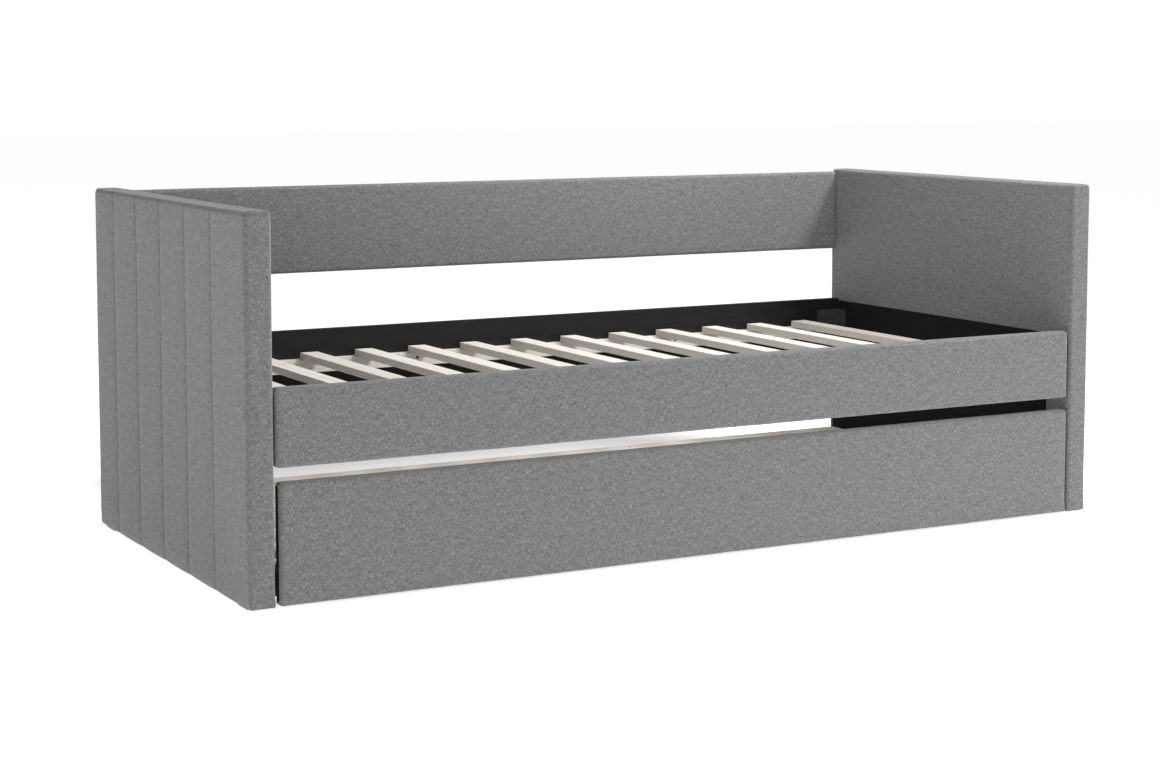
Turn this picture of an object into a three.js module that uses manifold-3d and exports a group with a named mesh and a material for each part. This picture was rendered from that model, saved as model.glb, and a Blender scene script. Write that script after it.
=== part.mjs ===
// Trundle bed: an upholstered day bed on a slatted base, with a low slatted bed on wheels that
// pulls out from under its front rail. Millimetres, +Z up. X runs along the bed, the front faces
// -Y, and the origin is on the floor under the middle of the bed.

import * as THREE from 'three';
import { RoundedBoxGeometry } from 'three/addons/geometries/RoundedBoxGeometry.js';
import { mergeVertices } from 'three/addons/utils/BufferGeometryUtils.js';
import Module from 'manifold-3d';

// ---- Driving dimensions ---------------------------------------------------------------------

const LENGTH = 2080;
const DEPTH = 965;
const HEIGHT = 772;
const GAP = 0.3; // between pieces that touch

const HALF_LENGTH = LENGTH / 2;
const FRONT = -DEPTH / 2;
const BACK = DEPTH / 2;

// Arms
const ARM_THICK = 55;
const ARM_PAD = { outer: 20, inner: 12, edge: 12 }; // padding over the core's faces and edges
const ARM_EDGE_R = 12;
const ARM_INNER = HALF_LENGTH - ARM_THICK; // distance from the middle to an arm's inner face
const CHANNEL_PITCH = 158;
const CHANNEL_REAR_SEAM = 343; // Y of the seam nearest the back
const CHANNEL_SEAMS = 5;
const CHANNEL_CUT = 2.5;
const LINING_THICK = 1.5;
const LINING_TOP = 420;
const LINING_BOTTOM = 8;
const LINING_FRONT = -403;
const LINING_BACK = 466;

// Glides under the arms
const GLIDE = { height: 4, wide: 42, long: 60, r: 6 };
const GLIDE_Y = 425;

// Back panel and rails
const BACK_PANEL = { thick: 24, bottom: 559, top: 765 };
const FRONT_RAIL = { thick: 30, bottom: 275, top: 431, endGap: 3.5 };
const REAR_RAIL = { thick: 22, bottom: 275, top: 425, front: 442 };
const BOARD_PAD = 12; // padding over a covered board's face and edges
const BOARD_EDGE_R = 9;

// Slats of the bed, across its width
const SLAT_COUNT = 13;
const SLAT = { wide: 44, thick: 16, long: 864, top: 374 };
const SLAT_PITCH = 139;
const SLAT_ROW_X = 9; // the row lies a little nearer the right arm
const SLAT_ROW_Y = -4;
const LEDGE = { deep: 30, tall: 30, end: 875, start: -850 };

// Corner brackets between the rails and the arms
const BRACKET = { rail: 70, arm: 32, tall: 44, thick: 3, bottom: 353, holeR: 3 };

// Trundle
const TRUNDLE_HALF = 978.5;
const TRUNDLE_X = 3.5; // it stands a little nearer the right arm
const TRUNDLE_FRONT = { thick: 30, bottom: 5, top: 246 };
const FRAME_BOARD = { thick: 18, bottom: 15, top: 59.7 };
const END_BOARD_X = 961; // middle of an end board
const REAR_BOARD_FRONT = 440.3;
const BEARER_X = 320;
const BEARER_WIDE = 30;
const TRUNDLE_SLAT_COUNT = 7;
const TRUNDLE_SLAT = { wide: 56, thick: 17, long: 1936, top: 77 };
const TRUNDLE_SLAT_PITCH = 141;

// Wheels, their forks and axles
const WHEEL = { r: 20, wide: 18, hubR: 8, recess: 3, recessR: 15, boreR: 4.35 };
const FORK = { sheet: 2.5, inside: 24, top: 54, deep: 36, holeR: 4.35 };
const AXLE = { r: 4, headR: 6, head: 1.6 };
const WHEEL_Y = 330;
const ROUND_STEPS = 32;
const SMALL_STEPS = 24;

// ---- Materials ------------------------------------------------------------------------------

function material(color, roughness, metalness = 0) {
  return () => new THREE.MeshStandardMaterial({ color, roughness, metalness });
}

const fabric = material(0x8b8b8b, 0.95);
const lining = material(0x161616, 0.9);
const blackBoard = material(0x1b1b1b, 0.6);
const coreBoard = material(0xa58d6c, 0.8);
const pine = material(0xdfcdaa, 0.6);
const blackSteel = material(0x242424, 0.45, 0.8);
const bareSteel = material(0xb4b4b4, 0.3, 1);
const blackPlastic = material(0x181818, 0.55);

// ---- Geometry helpers -----------------------------------------------------------------------

const wasm = await Module();
wasm.setup();

function toSolid(geometry) {
  const bare = geometry.clone();
  bare.deleteAttribute('normal');
  bare.deleteAttribute('uv');
  const merged = mergeVertices(bare, 1e-4);
  return new wasm.Manifold(new wasm.Mesh({
    numProp: 3,
    vertProperties: new Float32Array(merged.attributes.position.array),
    triVerts: new Uint32Array(merged.index.array),
  }));
}

function toGeometry(solid) {
  const mesh = solid.getMesh();
  const geometry = new THREE.BufferGeometry();
  geometry.setAttribute('position', new THREE.BufferAttribute(mesh.vertProperties, 3));
  geometry.setIndex(new THREE.BufferAttribute(mesh.triVerts, 1));
  geometry.computeVertexNormals();
  return geometry;
}

function cut(geometry, ...tools) {
  return toGeometry(tools.reduce((solid, tool) => solid.subtract(toSolid(tool)), toSolid(geometry)));
}

// A box between two corners, with plain or rounded edges.
function box([x0, y0, z0], [x1, y1, z1], radius = 0) {
  const [sx, sy, sz] = [x1 - x0, y1 - y0, z1 - z0];
  const geometry = radius > 0
    ? new RoundedBoxGeometry(sx, sy, sz, 2, radius)
    : new THREE.BoxGeometry(sx, sy, sz);
  return geometry.translate((x0 + x1) / 2, (y0 + y1) / 2, (z0 + z1) / 2);
}

// The outline of a rectangle about the origin, with its corners rounded or cut off.
function plate(width, height, corner) {
  const [w, h] = [width / 2, height / 2];
  const shape = new THREE.Shape();
  shape.moveTo(-w + corner, -h);
  shape.lineTo(w - corner, -h);
  shape.absarc(w - corner, -h + corner, corner, -Math.PI / 2, 0);
  shape.lineTo(w, h - corner);
  shape.absarc(w - corner, h - corner, corner, 0, Math.PI / 2);
  shape.lineTo(-w + corner, h);
  shape.absarc(-w + corner, h - corner, corner, Math.PI / 2, Math.PI);
  shape.lineTo(-w, -h + corner);
  shape.absarc(-w + corner, -h + corner, corner, Math.PI, 1.5 * Math.PI);
  return shape;
}

function extrude(shape, depth, curveSegments) {
  return new THREE.ExtrudeGeometry(shape, { depth, bevelEnabled: false, curveSegments });
}

// A cylinder along X with its middle at x.
function rodX(r, length, x, y, z, steps = SMALL_STEPS) {
  return new THREE.CylinderGeometry(r, r, length, steps).rotateZ(Math.PI / 2).translate(x, y, z);
}

// A geometry mirrored across X (sx = -1), Y (sy = -1) or both, with its faces still pointing out.
function mirrored(geometry, sx, sy = 1) {
  const copy = geometry.clone().scale(sx, sy, 1);
  if (sx * sy > 0) return copy;
  const order = copy.index
    ? copy.index.array
    : Uint32Array.from({ length: copy.attributes.position.count }, (_, i) => i);
  for (let i = 0; i < order.length; i += 3) [order[i], order[i + 1]] = [order[i + 1], order[i]];
  copy.setIndex(new THREE.BufferAttribute(order, 1));
  return copy;
}

const SIDES = [
  { name: 'left', sign: -1 },
  { name: 'right', sign: 1 },
];
const ENDS = [
  { name: 'front', sign: -1 },
  { name: 'rear', sign: 1 },
];

// ---- Object ---------------------------------------------------------------------------------

const bed = new THREE.Group();
const trundle = new THREE.Group();

function add(group, name, geometry, makeMaterial) {
  const mesh = new THREE.Mesh(geometry, makeMaterial());
  mesh.name = name;
  group.add(mesh);
  return mesh;
}

// Arms: a board in a padded cover that is open underneath, with sewn channels outside and a
// black lining on the lower part inside. Each is made for the right end and mirrored.
function armCover() {
  const bottom = GLIDE.height + GAP;
  const padded = box([ARM_INNER, FRONT, bottom], [HALF_LENGTH, BACK, HEIGHT], ARM_EDGE_R);
  const pocket = box(
    [ARM_INNER + ARM_PAD.inner, FRONT + ARM_PAD.edge, bottom - 1],
    [HALF_LENGTH - ARM_PAD.outer, BACK - ARM_PAD.edge, HEIGHT - ARM_PAD.edge],
  );
  const grooves = Array.from({ length: CHANNEL_SEAMS }, (_, i) => {
    const wedge = new THREE.CylinderGeometry(CHANNEL_CUT, CHANNEL_CUT, HEIGHT, 4).rotateX(Math.PI / 2);
    return wedge.translate(HALF_LENGTH, CHANNEL_REAR_SEAM - i * CHANNEL_PITCH, HEIGHT / 2);
  });
  return cut(padded, pocket, ...grooves);
}

function armCore() {
  return box(
    [ARM_INNER + ARM_PAD.inner + GAP, FRONT + ARM_PAD.edge + GAP, GLIDE.height + GAP],
    [HALF_LENGTH - ARM_PAD.outer - GAP, BACK - ARM_PAD.edge - GAP, HEIGHT - ARM_PAD.edge - GAP],
  );
}

const liningFace = ARM_INNER - GAP - LINING_THICK; // inner face of the lining

function armLining() {
  return box([liningFace, LINING_FRONT, LINING_BOTTOM], [ARM_INNER - GAP, LINING_BACK, LINING_TOP]);
}

function glide(y) {
  const outline = plate(GLIDE.wide, GLIDE.long, GLIDE.r);
  return extrude(outline, GLIDE.height, 3).translate(HALF_LENGTH - ARM_THICK / 2, y, 0);
}

for (const { name, sign } of SIDES) {
  add(bed, `${name}_arm_cover`, mirrored(armCover(), sign), fabric);
  add(bed, `${name}_arm_core`, mirrored(armCore(), sign), coreBoard);
  add(bed, `${name}_arm_lining`, mirrored(armLining(), sign), lining);
  for (const end of ENDS) {
    add(bed, `glide_${end.name}_${name}`, mirrored(glide(end.sign * GLIDE_Y), sign), blackPlastic);
  }
}

// A board with a padded cover over its front face and its four edges. The cover is a tray that is
// open at the back, where the board shows.
function coveredBoard(group, name, half, front, { thick, bottom, top }) {
  const back = front + thick;
  const pad = BOARD_PAD;
  const padded = box([-half, front, bottom], [half, back, top], BOARD_EDGE_R);
  const pocket = box([-half + pad, front + pad, bottom + pad], [half - pad, back + 1, top - pad]);
  add(group, `${name}_cover`, cut(padded, pocket), fabric);
  const edge = pad + GAP;
  const core = box([-half + edge, front + edge, bottom + edge], [half - edge, back, top - edge]);
  add(group, `${name}_core`, core, blackBoard);
}

coveredBoard(bed, 'back_panel', ARM_INNER - GAP, BACK - BACK_PANEL.thick, BACK_PANEL);
coveredBoard(bed, 'front_rail', ARM_INNER - FRONT_RAIL.endGap, FRONT, FRONT_RAIL);

const railHalf = liningFace - GAP;
const railBack = REAR_RAIL.front + REAR_RAIL.thick;
add(
  bed, 'rear_rail',
  box([-railHalf, REAR_RAIL.front, REAR_RAIL.bottom], [railHalf, railBack, REAR_RAIL.top]),
  blackBoard,
);

// Ledges along the two rails carry the ends of the slats.
const frontRailInner = FRONT + FRONT_RAIL.thick;
const ledgeTop = SLAT.top - SLAT.thick - GAP;

function ledge(y0) {
  return box([LEDGE.start, y0, ledgeTop - LEDGE.tall], [LEDGE.end, y0 + LEDGE.deep, ledgeTop]);
}
add(bed, 'front_slat_ledge', ledge(frontRailInner + GAP), pine);
add(bed, 'rear_slat_ledge', ledge(REAR_RAIL.front - GAP - LEDGE.deep), pine);

function bedSlat(x) {
  const { wide, thick, long, top } = SLAT;
  return box(
    [x - wide / 2, SLAT_ROW_Y - long / 2, top - thick],
    [x + wide / 2, SLAT_ROW_Y + long / 2, top],
  );
}
for (let i = 0; i < SLAT_COUNT; i += 1) {
  const x = SLAT_ROW_X + (i - (SLAT_COUNT - 1) / 2) * SLAT_PITCH;
  add(bed, `bed_slat_${String(i + 1).padStart(2, '0')}`, bedSlat(x), pine);
}

// Corner bracket: an angle with one leg along the rail and one along the arm, and screw holes.
// It is made for the rear right corner, where `faceX` and `faceY` are the faces that it lies on.
function bracket(faceX, faceY) {
  const { rail, arm, tall, thick, bottom, holeR } = BRACKET;
  const outline = new THREE.Shape();
  outline.moveTo(0, 0);
  outline.lineTo(-rail, 0);
  outline.lineTo(-rail, -thick);
  outline.lineTo(-thick, -thick);
  outline.lineTo(-thick, -arm);
  outline.lineTo(0, -arm);
  const angle = extrude(outline, tall).translate(faceX - GAP, faceY - GAP, bottom);
  const holes = [];
  for (const z of [bottom + tall * 0.25, bottom + tall * 0.75]) {
    for (const x of [rail * 0.35, rail * 0.8]) {
      const hole = new THREE.CylinderGeometry(holeR, holeR, 4 * thick, 12);
      holes.push(hole.translate(faceX - x, faceY, z));
    }
    holes.push(rodX(holeR, 4 * thick, faceX, faceY - arm * 0.6, z, 12));
  }
  return cut(angle, ...holes);
}

for (const { name, sign } of SIDES) {
  const rear = bracket(liningFace, REAR_RAIL.front);
  const front = bracket(ARM_INNER, -frontRailInner);
  add(bed, `bracket_rear_${name}`, mirrored(rear, sign), blackSteel);
  add(bed, `bracket_front_${name}`, mirrored(front, sign, -1), blackSteel);
}

// Trundle: a covered front panel, a low frame of boards and bearers, and slats along its length.
coveredBoard(trundle, 'trundle_front', TRUNDLE_HALF, FRONT, TRUNDLE_FRONT);

const frameFront = FRONT + TRUNDLE_FRONT.thick + GAP;
const frameBack = REAR_BOARD_FRONT - GAP;
const endOuter = END_BOARD_X + FRAME_BOARD.thick / 2;
const endInner = END_BOARD_X - FRAME_BOARD.thick / 2;
for (const { name, sign } of SIDES) {
  const board = box(
    [endInner, frameFront, FRAME_BOARD.bottom],
    [endOuter, frameBack, FRAME_BOARD.top],
  );
  add(trundle, `trundle_${name}_board`, mirrored(board, sign), blackBoard);
}
add(
  trundle, 'trundle_rear_board',
  box(
    [-endOuter, REAR_BOARD_FRONT, FRAME_BOARD.bottom],
    [endOuter, REAR_BOARD_FRONT + FRAME_BOARD.thick, FRAME_BOARD.top],
  ),
  blackBoard,
);
[-BEARER_X, BEARER_X].forEach((x, i) => {
  const bearer = box(
    [x - BEARER_WIDE / 2, frameFront, FRAME_BOARD.bottom],
    [x + BEARER_WIDE / 2, frameBack, FRAME_BOARD.top],
  );
  add(trundle, `trundle_bearer_${i + 1}`, bearer, pine);
});
for (let i = 0; i < TRUNDLE_SLAT_COUNT; i += 1) {
  const y = (i - (TRUNDLE_SLAT_COUNT - 1) / 2) * TRUNDLE_SLAT_PITCH;
  const { wide, thick, long, top } = TRUNDLE_SLAT;
  const slat = box([-long / 2, y - wide / 2, top - thick], [long / 2, y + wide / 2, top]);
  add(trundle, `trundle_slat_${i + 1}`, slat, pine);
}

// Wheels run in downward-facing forks on the inner faces of the end boards, on axles along X.
const forkOuter = endInner - GAP;
const forkInner = forkOuter - FORK.inside - 2 * FORK.sheet;
const wheelX = (forkOuter + forkInner) / 2;

function wheelFork(y) {
  const { sheet, top, deep, holeR } = FORK;
  const foot = WHEEL.r - deep / 4; // the cheeks end in this much below the axle
  const outline = new THREE.Shape();
  outline.moveTo(forkInner, foot);
  outline.lineTo(forkInner + sheet, foot);
  outline.lineTo(forkInner + sheet, top - sheet);
  outline.lineTo(forkOuter - sheet, top - sheet);
  outline.lineTo(forkOuter - sheet, foot);
  outline.lineTo(forkOuter, foot);
  outline.lineTo(forkOuter, top);
  outline.lineTo(forkInner, top);
  const channel = extrude(outline, deep).rotateX(Math.PI / 2).translate(0, y + deep / 2, 0);
  return cut(channel, rodX(holeR, 2 * FORK.inside, wheelX, y, WHEEL.r));
}

function wheelAxle(y) {
  const start = forkInner - GAP - AXLE.head;
  const length = forkOuter - GAP - start;
  const outline = [
    [0, 0],
    [AXLE.headR, 0],
    [AXLE.headR, AXLE.head],
    [AXLE.r, AXLE.head],
    [AXLE.r, length],
    [0, length],
  ].map(([r, along]) => new THREE.Vector2(r, along));
  return new THREE.LatheGeometry(outline, SMALL_STEPS)
    .rotateZ(-Math.PI / 2)
    .translate(start, y, WHEEL.r);
}

function wheel(y) {
  const { r, wide, hubR, recess, recessR, boreR } = WHEEL;
  const half = wide / 2;
  const shoulder = 2;
  const outline = [
    [boreR, -half],
    [hubR, -half],
    [hubR + 1, -half + recess],
    [recessR, -half + recess],
    [recessR + 1, -half],
    [r - shoulder, -half],
    [r, -half + shoulder],
    [r, half - shoulder],
    [r - shoulder, half],
    [recessR + 1, half],
    [recessR, half - recess],
    [hubR + 1, half - recess],
    [hubR, half],
    [boreR, half],
    [boreR, -half],
  ].map(([radius, along]) => new THREE.Vector2(radius, along));
  return new THREE.LatheGeometry(outline, ROUND_STEPS)
    .rotateZ(-Math.PI / 2)
    .translate(wheelX, y, r);
}

for (const end of ENDS) {
  for (const { name, sign } of SIDES) {
    const y = end.sign * WHEEL_Y;
    const place = `${end.name}_${name}`;
    add(trundle, `wheel_fork_${place}`, mirrored(wheelFork(y), sign), blackSteel);
    add(trundle, `wheel_axle_${place}`, mirrored(wheelAxle(y), sign), bareSteel);
    add(trundle, `wheel_${place}`, mirrored(wheel(y), sign), blackPlastic);
  }
}

for (const { geometry } of trundle.children) geometry.translate(TRUNDLE_X, 0, 0);

const trundleBed = new THREE.Group();
trundleBed.add(bed, trundle);

export default trundleBed;
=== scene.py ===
import math

import bpy
import numpy as np
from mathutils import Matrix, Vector


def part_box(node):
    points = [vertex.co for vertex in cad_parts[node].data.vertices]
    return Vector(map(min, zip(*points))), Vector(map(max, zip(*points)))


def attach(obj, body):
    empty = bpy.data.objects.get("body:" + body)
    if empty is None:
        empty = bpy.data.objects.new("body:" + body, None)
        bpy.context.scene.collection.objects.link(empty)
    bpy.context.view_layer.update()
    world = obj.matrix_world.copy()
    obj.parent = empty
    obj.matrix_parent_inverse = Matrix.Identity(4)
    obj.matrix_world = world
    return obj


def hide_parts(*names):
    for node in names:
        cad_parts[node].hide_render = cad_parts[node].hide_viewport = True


# An upholstered day bed with a trundle on wheels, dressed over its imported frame. Metres, +Z up,
# X along the bed, front towards -Y.

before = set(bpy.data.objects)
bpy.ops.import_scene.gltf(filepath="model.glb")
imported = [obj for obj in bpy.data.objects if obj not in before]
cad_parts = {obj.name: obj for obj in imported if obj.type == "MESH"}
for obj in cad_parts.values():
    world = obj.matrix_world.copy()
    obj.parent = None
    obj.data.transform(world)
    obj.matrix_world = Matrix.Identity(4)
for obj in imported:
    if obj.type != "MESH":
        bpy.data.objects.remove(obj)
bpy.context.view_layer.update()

# ---- Camera and light ----

CAMERA_AT = (-2.523, -4.499, 1.041)
CAMERA_YAW = 28.77  # degrees from +Y towards +X
CAMERA_PITCH = -5.15
CAMERA_LENS = 69.83
CAMERA_SENSOR = 36.0
CAMERA_SHIFT = -0.10

WORLD_LIGHT = 0.22
LIGHTS = {
    "key": {"at": (3.0, -2.4, 4.2), "to": (0.2, 0.0, 0.3), "size": 1.2, "power": 200.0},
    "top": {"at": (1.7, 0.0, 3.4), "to": (0.0, 0.0, 0.3), "size": 1.4, "power": 46.0},
    "left": {"at": (-3.4, -1.6, 1.5), "to": (-1.0, 0.0, 0.4), "size": 1.6, "power": 20.0},
    "back": {"at": (0.3, -0.33, 1.9), "to": (0.1, 0.46, 0.62), "size": 0.7, "power": 7.6},
    "back_right": {"at": (0.7, -0.33, 1.7), "to": (0.6, 0.46, 0.62), "size": 0.6, "power": 5.2},
}
FLOOR_SIZE = 60.0
FLOOR_GLOW = 0.78  # the floor is a softly lit table
# painted shadow: where the floor's glow is taken away, under the bed and close behind it
FLOOR_SHADE = {"centre": (0.0, 0.32), "half": (0.80, 0.62), "fade": 0.22, "keep": 0.10}
FLOOR_GREY = (0.93, 0.93, 0.93, 1.0)
WHITE = (1.0, 1.0, 1.0, 1.0)

# ---- Sizes of the soft detail ----

SIDES = (("left", -1), ("right", 1))  # the two ends of the bed, and the sign of X there
ARM_RADIUS = 0.009
BOARD_RADIUS = 0.008
FOOT_RADIUS = 0.0035  # lower edges near the floor are pulled tighter
FOOT_RISE = (0.004, 0.030)  # heights between which the radius grows to the usual one
EDGE_STEPS = 6  # grid lines round half of a rounded edge
CLOTH_GRID = 0.0105
CLOTH_FRAMES = 20
CLOTH = {
    "quality": 4,
    "mass": 0.3,
    "tension_stiffness": 25.0,
    "compression_stiffness": 25.0,
    "shear_stiffness": 8.0,
    "bending_stiffness": 0.6,
    "air_damping": 4.0,
    "shrink_min": -0.006,
}
GRAVITY = 9.81

CHANNEL_PITCH = 0.158
CHANNEL_REAR_SEAM = 0.343
CHANNEL_SEAMS = [CHANNEL_REAR_SEAM - i * CHANNEL_PITCH for i in range(5)]
SEAM_LINES = [0.0, 0.0011, 0.0024, 0.0044, 0.008]  # grid lines to each side of a seam
SEAM_DEPTH = 0.0023
SEAM_HALF_WIDTH = 0.0015
SEAM_SHADE = 0.0013  # half the width of the painted shade along a seam
FOLDED_EDGE = {"height": 0.0007, "off": 0.0040, "width": 0.0022}  # cloth folded under by a seam
TOP_SEAM_DROP = 0.0066  # how far below the top the strip over an arm is sewn on
TOP_SEAM_DEPTH = 0.0011
GATHER = {"height": 0.0014, "reach": 0.0034, "off": 0.0035}  # where a channel seam meets the strip
LOWER_TUCK = {"depth": 0.0032, "reach": 0.011}  # the lower outer edge of an arm is rounder
OUTER_FADE = 0.010  # relief of an arm's outer face fades over this distance past its edge
FACE_FADE = 0.006  # and of any other face over this
PUCKERS = {"strip": (0.012, 0.0006), "channel": (0.008, 0.0003), "board": (0.014, 0.00035)}
LOOSE_CLOTH = {"arm": 0.00045, "board": 0.0004}
POCKET = {"arm": 0.006, "board": 0.004}  # how far a cover goes in round its board
CORNER_FOLD = {"depth": 0.0007, "width": 0.0016}
SEAM_WANDER = {"height": 0.0011, "length": 0.16, "reach": 0.012}

CROWN = {"arm_outer": 0.0024, "arm_inner": 0.0014, "back": 0.0020, "rail": 0.0018, "trundle": 0.0024}
PADDING_LIMIT = 1.5  # the higher it is, the flatter the middle of a padded face
TURN_UNDER = 0.02  # cloth that goes on round the lower edge, to where it is stapled

STITCH = {"pitch": 0.0088, "length": 0.0058, "radius": 0.00062}
STAPLE = {"length": 0.0100, "radius": 0.00050}


# ---- Numbers ----

def smoothstep(low, high, value):
    t = np.clip((value - low) / (high - low), 0.0, 1.0)
    return t * t * (3.0 - 2.0 * t)


def bell(value, width):
    return np.exp(-((value / width) ** 2))


def lattice(cells, seed):
    """A fixed pseudo-random number from 0 to 1 for each whole-number cell."""
    mixed = (cells[:, 0] * 73856093) ^ (cells[:, 1] * 19349663) ^ (cells[:, 2] * 83492791) ^ seed
    mixed = (mixed ^ (mixed >> 13)) * 1274126177 & 0x7FFFFFFF
    return ((mixed ^ (mixed >> 16)) & 0xFFFF) / 65535.0


def soft_noise(points, size, seed):
    """Smooth noise from -1 to 1, with features of the given size, one per axis."""
    scaled = points / np.array(size)
    cell = np.floor(scaled).astype(np.int64)
    part = scaled - cell
    part = part * part * (3.0 - 2.0 * part)
    total = np.zeros(len(points))
    for corner in range(8):
        step = np.array([corner & 1, corner >> 1 & 1, corner >> 2 & 1])
        weight = np.prod(np.where(step, part, 1.0 - part), axis=1)
        total += weight * lattice(cell + step, seed)
    return total * 2.0 - 1.0


# ---- Meshes ----

def make_object(name, points, faces, smooth=True):
    mesh = bpy.data.meshes.new(name)
    mesh.from_pydata(np.asarray(points).tolist(), [], [list(f) for f in faces])
    mesh.polygons.foreach_set("use_smooth", [smooth] * len(mesh.polygons))
    made = bpy.data.objects.new(name, mesh)
    bpy.context.scene.collection.objects.link(made)
    return made


def axis_lines(low, high, radius, pitch, extra=()):
    """Grid lines along one axis: close together round the rounded edges, then evenly spaced."""
    turns = [math.radians(45) * k / EDGE_STEPS for k in range(EDGE_STEPS, -1, -1)]
    edge = [radius * math.tan(turn) for turn in turns]
    first = [low + radius - e for e in edge]
    last = [high - radius + e for e in reversed(edge)]
    inner_low, inner_high = low + radius, high - radius
    count = max(1, round((inner_high - inner_low) / pitch))
    even = [inner_low + (inner_high - inner_low) * k / count for k in range(1, count)]
    wanted = sorted(e for e in extra if inner_low + 4e-4 < e < inner_high - 4e-4)
    even = [e for e in even if all(abs(e - w) > pitch * 0.3 for w in wanted)]
    return np.array(first + sorted(even + wanted) + last)


def rounded_grid(lines, radius, foot=None):
    """Surface of a rounded box on the given grid lines: the points on the plain box, the rounded
    points, their outward normals, the quads, and the axis that each quad faces."""
    ny, nz = len(lines[1]), len(lines[2])
    quads, axes = [], []
    for axis in range(3):
        a, b = (axis + 1) % 3, (axis + 2) % 3
        i, j = np.meshgrid(np.arange(len(lines[a]) - 1), np.arange(len(lines[b]) - 1), indexing="ij")
        low_turn = ((0, 0), (0, 1), (1, 1), (1, 0))
        high_turn = ((0, 0), (1, 0), (1, 1), (0, 1))
        for end, turn in ((0, low_turn), (len(lines[axis]) - 1, high_turn)):
            corners = []
            for da, db in turn:
                index = [0, 0, 0]
                index[axis] = np.full(i.size, end)
                index[a] = i.ravel() + da
                index[b] = j.ravel() + db
                corners.append((index[0] * ny + index[1]) * nz + index[2])
            quads.append(np.stack(corners, axis=1))
            axes.append(np.full(i.size, axis))
    keys, faces = np.unique(np.concatenate(quads), return_inverse=True)
    plain = np.stack(
        [lines[0][keys // (ny * nz)], lines[1][keys // nz % ny], lines[2][keys % nz]], axis=1
    )
    low = [line[0] for line in lines]
    high = [line[-1] for line in lines]
    points, normals = rounded_points(plain, low, high, radius, foot)
    return plain, points, normals, faces.reshape(-1, 4), np.concatenate(axes)


def rounded_points(plain, low, high, radius, foot=None):
    """Points of a plain box moved onto the same box with rounded edges, and their normals. The
    edges may be sharper at the foot than higher up."""
    if foot is not None:
        rise = smoothstep(*FOOT_RISE, plain[:, 2:] - low[2])
        radius = foot + (radius - foot) * rise
    core = np.clip(plain, np.array(low) + radius, np.array(high) - radius)
    normals = plain - core
    normals /= np.linalg.norm(normals, axis=1)[:, None]
    return core + radius * normals, normals


def add_weave_map(made, axes):
    """Weave coordinates in metres: each quad is laid flat on the plane that it faces."""
    mesh = made.data
    count = len(mesh.vertices)
    points = np.empty(count * 3)
    mesh.vertices.foreach_get("co", points)
    points = points.reshape(-1, 3)
    corner = np.empty(len(mesh.loops), dtype=np.int64)
    mesh.loops.foreach_get("vertex_index", corner)
    facing = np.repeat(axes, 4)
    at = points[corner]
    across = np.where(facing == 0, at[:, 1], at[:, 0])
    up = np.where(facing == 2, at[:, 1], at[:, 2])
    layer = mesh.uv_layers.new(name="weave")
    layer.data.foreach_set("uv", np.stack([across, up], axis=1).ravel())


def add_field(made, name, values):
    attribute = made.data.attributes.new(name, "FLOAT", "POINT")
    attribute.data.foreach_set("value", np.asarray(values, dtype=np.float32))


def joined(parts):
    """Points and faces of several (points, faces) pairs as one pair."""
    points, faces, start = [], [], 0
    for some_points, some_faces in parts:
        points.extend(some_points)
        faces.extend([[v + start for v in face] for face in some_faces])
        start += len(some_points)
    return points, faces


# ---- How far the padding stands out ----

def panel_sizes():
    """Width, height and seams of each padded face, laid flat."""
    arm_low, arm_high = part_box("left_arm_cover")
    depth, height = arm_high.y - arm_low.y, arm_high.z - arm_low.z + TURN_UNDER
    seams = [y - arm_low.y for y in CHANNEL_SEAMS]
    sizes = {"arm_outer": (depth, height, seams), "arm_inner": (depth, height, [])}
    covers = {"back": "back_panel_cover", "rail": "front_rail_cover", "trundle": "trundle_front_cover"}
    for name, node in covers.items():
        low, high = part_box(node)
        sizes[name] = (high.x - low.x, high.z - low.z, [])
    return sizes


def cloth_panels(sizes):
    """One mesh with every padded face laid flat beside the next, and the vertices that are held."""
    points, faces, pinned, grids = [], [], [], {}
    offset = 0.0
    for name, (width, height, seams) in sizes.items():
        columns = axis_columns(width, seams)
        rows = np.linspace(0.0, height, max(3, round(height / CLOTH_GRID)) + 1)
        start = len(points)
        for i, u in enumerate(columns):
            for j, v in enumerate(rows):
                held = i in (0, len(columns) - 1) or j in (0, len(rows) - 1)
                held = held or any(abs(u - s) < 1e-6 for s in seams)
                if held:
                    pinned.append(len(points))
                points.append((offset + u, v, 0.0))
        for i in range(len(columns) - 1):
            for j in range(len(rows) - 1):
                a = start + i * len(rows) + j
                faces.append((a, a + len(rows), a + len(rows) + 1, a + 1))
        grids[name] = (start, columns, rows)
        offset += width + 0.1
    return points, faces, pinned, grids


def axis_columns(width, seams):
    """Column positions about one grid step apart, with one on each seam."""
    stops = [0.0] + sorted(seams) + [width]
    columns = [0.0]
    for low, high in zip(stops, stops[1:]):
        count = max(1, round((high - low) / CLOTH_GRID))
        columns += [low + (high - low) * k / count for k in range(1, count + 1)]
    return np.array(columns)


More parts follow.
